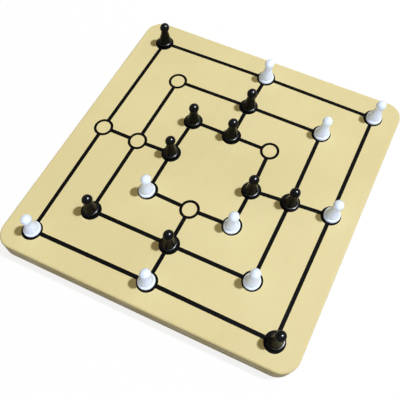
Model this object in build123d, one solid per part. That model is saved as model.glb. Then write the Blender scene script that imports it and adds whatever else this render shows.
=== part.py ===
"""Nine men's morris board with its men standing on it, in the middle of a game.

Frame: millimetres, +Z up. The origin is the middle of the board's underside, X and Y run along
the board's edges, and the men stand on the board's top face.

Pieces: the board (a thick panel with an engraved figure), the black filling of the engraving, ten
black men and nine white men. Every man is loose and lifts straight off the board.
"""

from build123d import *
from math import atan2, cos, degrees, radians, sin, sqrt
import os

# ---- board panel -----------------------------------------------------------------------------
board_width = 226.0  # along X
board_depth = 222.0  # along Y
board_thickness = 16.0
board_corner_radius = 13.0  # vertical corners, seen from above
top_edge_radius = 1.6  # hand-friendly rounding round the playing face
bottom_edge_radius = 1.0

# ---- figure engraved in the playing face -----------------------------------------------------
figure_margin = 18.0  # from the board's front and back edges to the outer square's line
figure_forward = 1.0  # the figure sits this much nearer the front edge than the back one
square_spacing = 30.0  # from each square's line to the next
line_width = 3.0
point_ring_outside = 14.8  # outside diameter of the ring that marks each point
point_ring_width = 2.1
groove_depth = 0.6

# ---- one man, a turned pawn: foot, bell-shaped body and ball head -----------------------------
foot_diameter = 12.0
foot_height = 2.4
foot_upper_round = 0.9  # rounding of the foot's upper rim
foot_lower_bevel = 0.3
foot_recess_diameter = 7.6  # shallow dish underneath, so that the man stands on its rim
foot_recess_depth = 0.4
bell_diameter = 9.6  # widest place of the body
bell_round = 1.0  # radius of the body's lower edge
bell_undercut = 45.0  # degrees by which that edge turns in below its widest place, down to the foot
bell_slope = 10.0  # degrees from upright, where the rounded edge runs into the body's long curve
neck_diameter = 5.6  # narrowest place, right under the head
head_diameter = 7.5
man_height = 20.5

# ---- points of the figure ---------------------------------------------------------------------
# A point is named by its square and by the compass direction of its place on that square,
# with north along +Y and east along +X. The directions are listed round the square.
outer_side = board_depth - 2 * figure_margin
middle_side = outer_side - 2 * square_spacing
inner_side = middle_side - 2 * square_spacing
square_side = {"outer": outer_side, "middle": middle_side, "inner": inner_side}
direction = {
    "n": (0, 1),
    "ne": (1, 1),
    "e": (1, 0),
    "se": (1, -1),
    "s": (0, -1),
    "sw": (-1, -1),
    "w": (-1, 0),
    "nw": (-1, 1),
}
# The figure is laid out by hand: these points lie off their true places by (east, north).
drawn_off = {
    ("outer", "nw"): (1.0, -0.5),
    ("outer", "n"): (1.0, 1.0),
    ("outer", "e"): (0.5, 2.5),
    ("outer", "s"): (-0.5, 1.0),
    ("outer", "sw"): (1.0, 0.5),
    ("middle", "nw"): (0.5, -1.0),
    ("middle", "ne"): (-1.5, 0.0),
    ("inner", "ne"): (-1.0, 0.0),
    ("inner", "e"): (0.5, -2.5),
    ("inner", "s"): (0.0, -1.0),
    ("inner", "sw"): (-1.5, 0.0),
    ("inner", "w"): (-1.5, 1.0),
}

# ---- the game in progress ---------------------------------------------------------------------
black_places = {"outer": ("nw", "se"), "middle": ("n", "e", "s", "sw"), "inner": ("nw", "n", "e", "w")}
white_places = {"outer": ("n", "ne", "e", "s", "sw"), "middle": ("ne", "se"), "inner": ("se", "sw")}
# A player sets some men down a little off the middles of their points, by (east, north).
stood_off = {
    ("outer", "nw"): (0.0, 0.5),
    ("outer", "ne"): (0.5, 0.0),
    ("outer", "e"): (0.5, 0.5),
    ("outer", "se"): (0.5, 0.5),
    ("outer", "s"): (-0.5, 0.0),
    ("outer", "sw"): (0.0, 0.5),
    ("middle", "n"): (0.5, 0.0),
    ("middle", "ne"): (0.5, 0.0),
    ("middle", "e"): (0.5, -0.5),
    ("middle", "se"): (0.0, -0.5),
    ("middle", "s"): (-0.5, 0.0),
    ("middle", "sw"): (-0.5, 0.0),
    ("inner", "n"): (-0.5, 0.0),
    ("inner", "e"): (0.0, -0.5),
    ("inner", "se"): (0.0, -0.5),
    ("inner", "sw"): (-0.5, -0.5),
    ("inner", "w"): (-0.5, 0.0),
}


def point_place(square, compass):
    """Gives the middle of one point of the figure, on the playing face."""
    east, north = direction[compass]
    half = square_side[square] / 2
    true_place = Vector(east * half, north * half - figure_forward, board_thickness)
    return true_place + Vector(*drawn_off.get((square, compass), (0, 0)))


def line_between(start, end):
    """One line of the figure, from the middle of a point to the middle of the next."""
    along = end - start
    middle = (start + end) / 2
    turn = degrees(atan2(along.Y, along.X))
    return Pos(middle.X, middle.Y) * Rot(0, 0, turn) * Rectangle(along.length, line_width)


def figure_outline():
    """Three nested squares, the four lines that join their sides, and a ring at each point."""
    round_the_square = list(direction)
    steps = []
    for square in square_side:
        places = [point_place(square, compass) for compass in round_the_square]
        steps += zip(places, places[1:] + places[:1])
    for compass in ("n", "e", "s", "w"):
        places = [point_place(square, compass) for square in square_side]
        steps += zip(places, places[1:])
    lines = Sketch()
    for start, end in steps:
        lines += line_between(start, end)
    discs = Sketch()
    holes = Sketch()
    for square in square_side:
        for compass in direction:
            place = point_place(square, compass)
            middle = Pos(place.X, place.Y)
            discs += middle * Circle(point_ring_outside / 2)
            holes += middle * Circle(point_ring_outside / 2 - point_ring_width)
    return lines + discs - holes


def figure_filling():
    """Black filling of the engraving, flush with the playing face."""
    floor = board_thickness - groove_depth
    return extrude(Pos(0, 0, floor) * figure_outline(), groove_depth)


def board_panel(filling):
    """Solid panel with round corners and eased edges, engraved with the figure."""
    panel = extrude(RectangleRounded(board_width, board_depth, board_corner_radius), board_thickness)
    panel = fillet(panel.faces().sort_by(Axis.Z)[-1].edges(), top_edge_radius)
    panel = fillet(panel.faces().sort_by(Axis.Z)[0].edges(), bottom_edge_radius)
    return panel - filling


def man():
    """One pawn, its profile turned about Z, standing on Z = 0."""
    foot_radius = foot_diameter / 2
    neck_radius = neck_diameter / 2
    head_radius = head_diameter / 2
    recess_radius = foot_recess_diameter / 2
    head_middle = man_height - head_radius
    neck_top = head_middle - sqrt(head_radius**2 - neck_radius**2)
    edge_middle = (bell_diameter / 2 - bell_round, foot_height + bell_round * sin(radians(bell_undercut)))
    slope = radians(bell_slope)

    underside = Polyline(
        (0, foot_recess_depth),
        (recess_radius, foot_recess_depth),
        (recess_radius, 0),
        (foot_radius - foot_lower_bevel, 0),
        (foot_radius, foot_lower_bevel),
        (foot_radius, foot_height - foot_upper_round),
    )
    rim = RadiusArc(underside @ 1, (foot_radius - foot_upper_round, foot_height), -foot_upper_round)
    lower_edge = CenterArc(edge_middle, bell_round, -bell_undercut, bell_undercut + bell_slope)
    shoulder = Line(rim @ 1, lower_edge @ 0)
    body = Spline(
        lower_edge @ 1,
        (neck_radius, neck_top),
        tangents=[(-sin(slope), cos(slope)), (0, 1)],
    )
    head = ThreePointArc(body @ 1, (head_radius, head_middle), (0, man_height))
    axis_side = Line((0, man_height), (0, foot_recess_depth))
    profile = make_face([underside, rim, shoulder, lower_edge, body, head, axis_side])
    return revolve(Plane.XZ * profile, Axis.Z)


def standing_place(square, compass):
    """Gives where the man on one point stands, on the playing face."""
    return point_place(square, compass) + Vector(*stood_off.get((square, compass), (0, 0)))


def men(colour, places):
    """Every man of one colour under its node's name, each on its own point."""
    pawn = man()
    spots = [standing_place(square, compass) for square in places for compass in places[square]]
    return {f"{colour}_man_{number:02d}": Pos(spot) * pawn for number, spot in enumerate(spots, 1)}


filling = figure_filling()
pieces = {"board": board_panel(filling), "figure_filling": filling}
pieces.update(men("black", black_places))
pieces.update(men("white", white_places))

os.makedirs("parts", exist_ok=True)
for node, shape in pieces.items():
    export_step(shape, f"parts/{node}.step")
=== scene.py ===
"""Nine men's morris board in the middle of a game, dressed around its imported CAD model.

Every length is in metres, in the CAD model's own frame: the origin is the middle of the board's
underside, +Z is up, and +Y points away from the player who sits at the front.
"""

import bpy
import numpy as np
from mathutils import Matrix, Vector


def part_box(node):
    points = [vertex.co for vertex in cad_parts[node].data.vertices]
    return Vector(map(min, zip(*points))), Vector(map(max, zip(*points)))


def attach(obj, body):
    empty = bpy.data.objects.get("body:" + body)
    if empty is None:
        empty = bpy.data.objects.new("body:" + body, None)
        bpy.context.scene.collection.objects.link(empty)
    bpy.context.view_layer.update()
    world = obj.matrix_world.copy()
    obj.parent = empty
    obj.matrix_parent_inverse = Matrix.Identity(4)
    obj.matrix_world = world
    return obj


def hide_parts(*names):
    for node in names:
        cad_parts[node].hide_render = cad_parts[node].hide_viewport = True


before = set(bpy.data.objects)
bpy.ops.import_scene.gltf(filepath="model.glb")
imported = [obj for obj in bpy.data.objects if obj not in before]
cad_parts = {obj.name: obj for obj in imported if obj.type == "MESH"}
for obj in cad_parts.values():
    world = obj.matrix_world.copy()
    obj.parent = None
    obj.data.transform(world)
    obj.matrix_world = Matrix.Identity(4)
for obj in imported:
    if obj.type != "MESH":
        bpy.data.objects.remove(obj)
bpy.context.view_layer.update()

# ---- board panel ------------------------------------------------------------------------------
# The board is one solid panel of close-grained light wood with round corners and eased edges. It
# is sanded, engraved, and closed with a cream satin lacquer, through which the grain only just
# shows. Its side is painted darker and browner as shade, in faint layers, and a painted contact
# shadow, mottled by noise, darkens it further along its lower arris.
MM = 0.001
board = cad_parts["board"]
board_thickness = 16 * MM
cream_deep = (0.712, 0.619, 0.322)
cream_light = (0.745, 0.654, 0.352)
# brown of the grain and flecks, and also the painted shade on the board's side
grain_and_side_shade_brown = (0.470, 0.372, 0.160)
# colour of the painted contact shadow along the bottom of the board's side
low_side_shade_brown = (0.330, 0.250, 0.120)
board_shine = 0.12  # specular level
board_roughness = (0.40, 0.56)
grain_run = (1, 0.035, 1)  # the grain runs along Y, and so does the figure of the wood
figure_run = (1, 0.12, 1)
layer_run = (0.03, 0.03, 1)  # the side's layers lie flat
figure_share = 0.10  # how far each mark takes the colour under it towards its own
grain_share = 0.045
fleck_share = 0.12
layer_share = 0.7
# the next two are shares of painted shade: on the side, and as a contact shadow low on it
side_shade_share = 0.9
low_shade_share = 0.6
grain_height = 0.6  # in the relief, where a fleck's height is 1
side_full_below = 1.5 * MM  # below the playing face, where the side's painted shade is full
side_ends_below = 0.7 * MM
low_shade_full_at = 0.3 * MM  # above the underside, where the painted contact shadow is full
low_shade_ends_at = 2.2 * MM


def node_adder(tree):
    """Gives the function that adds nodes to a tree."""

    def add(kind, inputs=(), **settings):
        """Adds one node; an input is set where it is a plain value and linked where a socket."""
        node = tree.nodes.new("ShaderNode" + kind)
        for key, value in settings.items():
            setattr(node, key, value)
        for key, value in dict(inputs).items():
            if isinstance(value, bpy.types.NodeSocket):
                tree.links.new(value, node.inputs[key])
            else:
                node.inputs[key].default_value = value
        return node

    return add


def new_finish(name, shine):
    """Starts a node material: gives it, its adder of nodes, and what drives its shader's inputs."""
    material = bpy.data.materials.new(name)
    material.use_nodes = True
    tree = material.node_tree
    shader = tree.nodes["Principled BSDF"]
    shader.inputs["Specular IOR Level"].default_value = shine

    def drive(socket, source):
        """Links a source socket to one of the shader's own inputs."""
        tree.links.new(source, shader.inputs[socket])

    return material, node_adder(tree), drive


def noise(add, place, scale, detail=3.0, roughness=0.55, stretch=(1, 1, 1), shift=(0, 0, 0)):
    """Adds a fractal noise at a scale per metre, drawn out along an axis by a small stretch."""
    laid = add("Mapping", {"Vector": place, "Scale": stretch, "Location": shift})
    return add(
        "TexNoise",
        {"Vector": laid.outputs[0], "Scale": scale, "Detail": detail, "Roughness": roughness},
    ).outputs["Fac"]


def between(add, source, low, high, to_low=0.0, to_high=1.0):
    """Maps a value's range low..high onto to_low..to_high with a smooth step, held at both ends."""
    return add(
        "MapRange",
        {"Value": source, "From Min": low, "From Max": high, "To Min": to_low, "To Max": to_high},
        interpolation_type="SMOOTHSTEP",
    ).outputs["Result"]


def blend(add, factor, first, second):
    """Mixes two colours by a factor, each a socket or an (r, g, b).

    The node's colour sockets share their names with others, so they are given by number.
    """
    first_input, second_input, colour_output = 6, 7, 2
    colours = {}
    for slot, colour in ((first_input, first), (second_input, second)):
        colours[slot] = colour if isinstance(colour, bpy.types.NodeSocket) else (*colour, 1)
    mix = add("Mix", {"Factor": factor, **colours}, data_type="RGBA")
    return mix.outputs[colour_output]


def product(add, first, second):
    """Multiplies two values, each a socket or a number."""
    return add("Math", {0: first, 1: second}, operation="MULTIPLY").outputs[0]


def scaled_sum(add, value, factor, more):
    """Gives value * factor + more, each a socket or a number."""
    return add("Math", {0: value, 1: factor, 2: more}, operation="MULTIPLY_ADD").outputs[0]


def relief(add, height, strength, depth):
    """Gives the surface's direction once a height has roughened it, to a depth in metres."""
    return add("Bump", {"Height": height, "Strength": strength, "Distance": depth}).outputs[0]


def lacquered_board():
    """Cream satin lacquer over close grain, with painted, layered shade on the side, darkest low.
    """
    material, add, drive = new_finish("cream_lacquer_on_wood", board_shine)
    place = add("TexCoord").outputs["Object"]
    z = add("SeparateXYZ", {"Vector": place}).outputs["Z"]
    cloud = noise(add, place, scale=14, detail=4.0)
    grain = noise(add, place, scale=900, detail=5.0, roughness=0.6, stretch=grain_run)
    figure = noise(add, place, scale=95, stretch=figure_run, shift=(3, 1, 0))
    fleck = noise(add, place, scale=2600, detail=2.0)
    body = blend(add, between(add, cloud, 0.35, 0.65), cream_deep, cream_light)
    body = blend(add, between(add, figure, 0.40, 0.60, figure_share, 0.0), body, cream_deep)
    body = blend(add, between(add, grain, 0.42, 0.62, grain_share, 0.0), body, grain_and_side_shade_brown)
    body = blend(add, between(add, fleck, 0.66, 0.78, 0.0, fleck_share), body, grain_and_side_shade_brown)

    # the side is painted darker and browner as shade, in faint layers, fading out just below the
    # playing face
    side_full = board_thickness - side_full_below
    side_end = board_thickness - side_ends_below
    side = between(add, z, side_full, side_end, 1.0, 0.0)
    layers = noise(add, place, scale=520, detail=4.0, stretch=layer_run, shift=(0, 0, 5))
    layer_tone = between(add, layers, 0.38, 0.62, 0.0, layer_share)
    shaded_side_tone = blend(add, layer_tone, grain_and_side_shade_brown, cream_deep)
    body = blend(add, product(add, side, side_shade_share), body, shaded_side_tone)

    # a painted contact shadow, mottled by noise, darkens the bottom of the side
    low_shade_mottle = noise(add, place, scale=180, detail=4.0, shift=(7, 2, 1))
    low_edge = between(add, z, low_shade_full_at, low_shade_ends_at, 1.0, 0.0)
    low_edge = product(add, low_edge, between(add, low_shade_mottle, 0.30, 0.65, 0.55, 1.0))
    body = blend(add, product(add, low_edge, low_shade_share), body, low_side_shade_brown)

    sheen = noise(add, place, scale=60, shift=(1, 8, 3))
    height = scaled_sum(add, grain, grain_height, fleck)
    drive("Base Color", body)
    drive("Roughness", between(add, sheen, 0.3, 0.7, *board_roughness))
    drive("Normal", relief(add, height, strength=0.10, depth=0.05 * MM))
    return material


board.data.materials.clear()
board.data.materials.append(lacquered_board())

# ---- engraved figure's filling ----------------------------------------------------------------
# The grooves of the figure are filled flush with black enamel paint, wiped level and left to cure.
# The enamel is satin, with faint cloudy streaks and a few dusty specks.
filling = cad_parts["figure_filling"]
enamel_black = (0.0015, 0.0015, 0.0015)
enamel_dusty = (0.0025, 0.0025, 0.0023)
enamel_shine = 0.04
enamel_roughness = (0.42, 0.62)
dust_share = 0.5


def black_enamel():
    """Near-black satin enamel with faint cloudy streaks."""
    material, add, drive = new_finish("black_enamel_filling", enamel_shine)
    place = add("TexCoord").outputs["Object"]
    cloud = noise(add, place, scale=160, detail=4.0)
    speck = noise(add, place, scale=3200, detail=2.0)
    body = blend(add, between(add, cloud, 0.40, 0.70), enamel_black, enamel_dusty)
    body = blend(add, between(add, speck, 0.68, 0.80, 0.0, dust_share), body, enamel_dusty)
    drive("Base Color", body)
    drive("Roughness", between(add, cloud, 0.3, 0.7, *enamel_roughness))
    drive("Normal", relief(add, speck, strength=0.12, depth=0.03 * MM))
    return material


filling.data.materials.clear()
filling.data.materials.append(black_enamel())

# ---- black men --------------------------------------------------------------------------------
# Each man is a small pawn, moulded in one piece from gloss black plastic, and stands loose on its
# point. It has a disc foot with a round rim and a shallow dish underneath, a crease above the
# foot, a bell-shaped body and a ball head.
man_height = 20.5 * MM
foot_radius = 6.0 * MM
foot_height = 2.4 * MM
foot_round = 0.9 * MM
foot_bevel = 0.3 * MM
dish_radius = 3.8 * MM
dish_depth = 0.4 * MM
dish_round = 0.15 * MM
bell_radius = 4.8 * MM
bell_round = 1.0 * MM
bell_undercut = np.radians(45)
bell_slope = np.radians(10)
neck_radius = 2.8 * MM
head_radius = 3.75 * MM
turns = 72  # points round a man
dish_points = 8  # points along each run of the profile
dish_round_points = 5
bevel_points = 6
round_points = 12
long_points = 34
jet = (0.0015, 0.0015, 0.0018)
jet_scuffed = (0.0030, 0.0030, 0.0034)
jet_worn = (0.005, 0.005, 0.005)
jet_shine = 0.08
jet_roughness = (0.20, 0.28)
foot_wear_ends = (0.34, 0.42)  # as shares of the profile's length, from foot to head
crown_wear_starts = (0.86, 1.0)
crown_wear_share = 0.5
worn_share = 0.5
worn_dullness = 0.15  # added to the roughness


def arc(middle, radius, start, end, count):
    """A circle's run: middle + radius * (cos a, sin a), for angles a evenly from start to end."""
    angle = np.linspace(start, end, count)
    return np.stack((middle[0] + radius * np.cos(angle), middle[1] + radius * np.sin(angle)), 1)


def man_profile():
    """The pawn's half outline as (radius, height) points, from the dish's middle to the head's top.

    Straight runs and quarter rounds make the foot, and a round turns the body out over its crease.
    The body is a cubic curve whose end directions are given, h(t) = (2t3-3t2+1) a + (t3-2t2+t) A
    + (3t2-2t3) b + (t3-t2) B, and the head is an arc.
    """
    quarter = np.pi / 2
    dish_flat = dish_radius - dish_round
    dish = np.linspace((0, dish_depth), (dish_flat, dish_depth), dish_points)[:-1]
    corner_middle = (dish_flat, dish_depth - dish_round)
    dish_corner = arc(corner_middle, dish_round, quarter, 0, dish_round_points)
    lip_middle = (dish_radius + dish_round, dish_round)
    dish_lip = arc(lip_middle, dish_round, np.pi, 1.5 * np.pi, dish_round_points)
    bevel_middle = (foot_radius - foot_bevel, foot_bevel)
    bevel = arc(bevel_middle, foot_bevel, -quarter, 0, bevel_points)
    rim_middle = (foot_radius - foot_round, foot_height - foot_round)
    rim = arc(rim_middle, foot_round, 0, quarter, round_points)

    edge_middle = (bell_radius - bell_round, foot_height + bell_round * np.sin(bell_undercut))
    lower_edge = arc(edge_middle, bell_round, -bell_undercut, bell_slope, round_points)
    head_middle = man_height - head_radius
    neck_angle = -np.arccos(neck_radius / head_radius)
    neck_top = head_middle + head_radius * np.sin(neck_angle)
    t = np.linspace(0, 1, long_points)[1:, None]
    start, end = lower_edge[-1], np.array((neck_radius, neck_top))
    reach = np.linalg.norm(end - start)
    lean = reach * np.array((-np.sin(bell_slope), np.cos(bell_slope)))
    rise = reach * np.array((0, 1))
    body = (
        (2 * t**3 - 3 * t**2 + 1) * start
        + (t**3 - 2 * t**2 + t) * lean
        + (3 * t**2 - 2 * t**3) * end
        + (t**3 - t**2) * rise
    )
    head = arc((0, head_middle), head_radius, neck_angle, quarter, long_points)[1:]
    return np.concatenate((dish, dish_corner, dish_lip, bevel, rim, lower_edge, body, head))


def turned(name, profile, middle):
    """Turns a profile about the vertical through middle: middle + (r cos a, r sin a, h).

    The profile's two ends lie on the axis, and each becomes one point with a fan of triangles. The
    attribute "along" holds each point's share of the profile's length, from foot to head.
    """
    angle = np.arange(turns) * (2 * np.pi / turns)
    inner = profile[1:-1]
    rings = np.stack(
        (
            np.outer(inner[:, 0], np.cos(angle)),
            np.outer(inner[:, 0], np.sin(angle)),
            np.repeat(inner[:, 1:], turns, 1),
        ),
        -1,
    ).reshape(-1, 3)
    ends = np.array(((0, 0, profile[0, 1]), (0, 0, profile[-1, 1])))
    points = np.concatenate((rings, ends)) + np.array(middle)
    here = np.arange(turns)
    after = (here + 1) % turns
    row = np.arange(len(inner) - 1)[:, None] * turns
    walls = np.stack((row + here, row + after, row + turns + after, row + turns + here), -1)
    first, last = len(rings), len(rings) + 1
    top = (len(inner) - 1) * turns
    under = np.stack((np.full(turns, first), after, here), -1)
    crown = np.stack((np.full(turns, last), top + here, top + after), -1)
    mesh = bpy.data.meshes.new(name)
    faces = walls.reshape(-1, 4).tolist() + under.tolist() + crown.tolist()
    mesh.from_pydata(points.tolist(), [], faces)
    mesh.polygons.foreach_set("use_smooth", np.ones(len(faces), bool))
    step = np.linalg.norm(np.diff(profile, axis=0), axis=1)
    length = np.concatenate(((0,), np.cumsum(step))) / step.sum()
    along = np.concatenate((np.repeat(length[1:-1], turns), (0, 1)))
    mesh.attributes.new("along", "FLOAT", "POINT").data.foreach_set("value", along)
    mesh.update()
    piece = bpy.data.objects.new(name, mesh)
    bpy.context.scene.collection.objects.link(piece)
    return piece


def set_out_men(colour, count, material):
    """Turns each man of one colour where its CAD node stands, and puts it in that node's place."""
    made = []
    for number in range(1, count + 1):
        node = f"{colour}_man_{number:02d}"
        low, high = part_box(node)
        foot = ((low.x + high.x) / 2, (low.y + high.y) / 2, low.z)
        man = turned(f"{colour}_pawn_{number:02d}", man_profile(), foot)
        man.data.materials.append(material)
        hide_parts(node)
        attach(man, node)
        made.append(man)
    return made


def gloss_finish(name, plain, scuffed, worn, roughness, shine):
    """Gloss finish with cloudy colour, fine specks, and a duller, worn foot rim and crown."""
    material, add, drive = new_finish(name, shine)
    place = add("TexCoord").outputs["Object"]
    along = add("Attribute", attribute_name="along").outputs["Fac"]
    cloud = noise(add, place, scale=220, detail=4.0)
    speck = noise(add, place, scale=2400)
    foot_wear = between(add, along, *foot_wear_ends, 1.0, 0.0)
    crown_wear = between(add, along, *crown_wear_starts, 0.0, crown_wear_share)
    wear = add("Math", {0: foot_wear, 1: crown_wear}, operation="MAXIMUM").outputs[0]
    wear = product(add, wear, between(add, speck, 0.45, 0.70))
    body = blend(add, between(add, cloud, 0.35, 0.70), plain, scuffed)
    body = blend(add, product(add, wear, worn_share), body, worn)
    polish = between(add, cloud, 0.3, 0.7, *roughness)
    drive("Base Color", body)
    drive("Roughness", scaled_sum(add, wear, worn_dullness, polish))
    drive("Normal", relief(add, speck, strength=0.05, depth=0.02 * MM))
    return material


black_gloss = gloss_finish("black_gloss", jet, jet_scuffed, jet_worn, jet_roughness, jet_shine)
black_men = set_out_men("black", count=10, material=black_gloss)

# ---- white men --------------------------------------------------------------------------------
# The white men are the same pawns, moulded in a cool white plastic that light enters a little way.
# They are a touch greyer where fingers and the board have rubbed their foot rims and crowns.
white = (0.715, 0.790, 0.880)
white_cloudy = (0.690, 0.765, 0.855)
white_rubbed = (0.640, 0.695, 0.755)
white_shine = 0.3
white_roughness = (0.22, 0.34)
light_enters = 0.6  # share of the light that goes under the surface
light_depth = 2.0 * MM
white_gloss = gloss_finish(
    "white_gloss", white, white_cloudy, white_rubbed, white_roughness, white_shine
)
plastic = white_gloss.node_tree.nodes["Principled BSDF"].inputs
plastic["Subsurface Weight"].default_value = light_enters
plastic["Subsurface Radius"].default_value = (1.0, 1.0, 1.0)
plastic["Subsurface Scale"].default_value = light_depth
white_men = set_out_men("white", count=9, material=white_gloss)

# ---- floor ------------------------------------------------------------------------------------
# A wide matt floor, pale to the eye. What it throws back at the object is a plain mid grey, so
# that the board's shaded side stays as deep as it should.
floor_reach = 4.0
floor_thrown = (0.12, 0.12, 0.12, 1)
floor_pale = (0.95, 0.95, 0.95, 1)
floor_own_white = 0.85  # share of plain white in what is seen, over the lit and shadowed paint


def emptied(holder):
    """Clears a material's or world's nodes, and gives the function that adds new ones."""
    holder.use_nodes = True
    holder.node_tree.nodes.clear()
    return node_adder(holder.node_tree)


def light_and_look(add, light, look):
    """Gives look to the camera, a mirror and glass, and light to every other ray."""
    path = add("LightPath").outputs
    seen = path["Is Camera Ray"]
    for ray in ("Is Glossy Ray", "Is Transmission Ray"):
        seen = add("Math", {0: seen, 1: path[ray]}, operation="MAXIMUM").outputs[0]
    return add("MixShader", {"Fac": seen, 1: light, 2: look}).outputs[0]


floor_corners = floor_reach * np.array(((-1, -1, 0), (1, -1, 0), (1, 1, 0), (-1, 1, 0)))
floor_mesh = bpy.data.meshes.new("floor")
floor_mesh.from_pydata(floor_corners.tolist(), [], [(0, 1, 2, 3)])
floor = bpy.data.objects.new("floor", floor_mesh)
bpy.context.scene.collection.objects.link(floor)
floor_finish = bpy.data.materials.new("pale_floor")
add = emptied(floor_finish)
grey = add("BsdfDiffuse", {"Color": floor_thrown}).outputs[0]
pale = add("BsdfDiffuse", {"Color": floor_pale}).outputs[0]
glow = add("Emission").outputs[0]
lifted = add("MixShader", {"Fac": floor_own_white, 1: pale, 2: glow}).outputs[0]
add("OutputMaterial", {"Surface": light_and_look(add, grey, lifted)})
floor_mesh.materials.append(floor_finish)

# ---- light ------------------------------------------------------------------------------------
# One soft round studio lamp hangs high on the right and a little behind, in a dim surround that is
# neutral at the walls and warm above. Two more shine on the men alone: one shows only in the black
# gloss, as its highlights, and a wide cool one lifts the white men's shaded sides.
key_way = Vector((0.412, 0.240, 1.000)).normalized()
key_distance = 6.0
key_size = 0.42
key_power = 294.0
key_colour = (1.0, 1.05, 1.16)
glint_power = 10 * key_power
fill_way = Vector((0.35, -0.60, 0.35)).normalized()
fill_distance = 3.0
fill_size = 3.0
fill_power = 56.0
fill_colour = (0.85, 0.93, 1.25)
walls = (0.56, 0.56, 0.54)
ceiling = (0.290, 0.245, 0.145)
walls_end = 0.20  # sine of the height above the horizon
ceiling_starts = 0.35
backdrop_white = (1, 1, 1, 1)


def hang_lamp(name, shape, way, distance, size, power, colour):
    """Hangs an area lamp at a distance along a way out from the origin, and aims it back there."""
    lamp = bpy.data.lights.new(name, "AREA")
    lamp.shape = shape
    lamp.size = size
    lamp.energy = power
    lamp.color = colour
    hung = bpy.data.objects.new(name, lamp)
    hung.location = way * distance
    hung.rotation_euler = way.to_track_quat("Z", "Y").to_euler()
    bpy.context.scene.collection.objects.link(hung)
    return hung


hang_lamp("key", "DISK", key_way, key_distance, key_size, key_power, key_colour)
glint = hang_lamp("glint", "DISK", key_way, key_distance, key_size, glint_power, key_colour)
glint.visible_diffuse = False
fill = hang_lamp("fill", "SQUARE", fill_way, fill_distance, fill_size, fill_power, fill_colour)
for lamp, men in ((glint, black_men), (fill, white_men)):
    shone_on = bpy.data.collections.new(f"{lamp.name}_shines_on")
    for man in men:
        shone_on.objects.link(man)
    lamp.light_linking.receiver_collection = shone_on

world = bpy.data.worlds.new("surround")
bpy.context.scene.world = world
add = emptied(world)
way_z = add("SeparateXYZ", {"Vector": add("TexCoord").outputs["Generated"]}).outputs["Z"]
rise = add("MapRange", {"Value": way_z, "From Min": walls_end, "From Max": ceiling_starts})
surround = add("Background", {"Color": blend(add, rise.outputs["Result"], walls, ceiling)})
backdrop = add("Background", {"Color": backdrop_white})
add("OutputWorld", {"Surface": light_and_look(add, surround.outputs[0], backdrop.outputs[0])})

# ---- camera -----------------------------------------------------------------------------------
# The camera stands in front and to the right, looking down over the near edge. It hangs on a
# mount that slants its picture sideways a little.
eye = Vector((0.06429, -0.17135, 0.34418))
aim = Vector((0.00333, -0.02541, 0.01600))
roll = np.radians(1.374)
slant = -0.07763
sensor_width = 36  # in millimetres, like the lens
lens = 45.84
forward = (aim - eye).normalized()
level = forward.cross(Vector((0, 0, 1))).normalized()
above = level.cross(forward)
right = np.cos(roll) * level + np.sin(roll) * above
up = -np.sin(roll) * level + np.cos(roll) * above
pose = Matrix((right, up, -forward)).transposed().to_4x4()
pose.translation = eye
slanting = Matrix(((1, slant, 0, 0), (0, 1, 0, 0), (0, 0, 1, 0), (0, 0, 0, 1)))
camera_data = bpy.data.cameras.new("camera")
camera_data.sensor_width = sensor_width
camera_data.lens = lens
camera = bpy.data.objects.new("camera", camera_data)
mount = bpy.data.objects.new("camera_mount", None)
for thing in (mount, camera):
    bpy.context.scene.collection.objects.link(thing)
camera.parent = mount
camera.matrix_basis = pose
camera.matrix_parent_inverse = pose @ slanting @ pose.inverted()
bpy.context.scene.camera = camera
bpy.context.scene.view_settings.view_transform = "Standard"
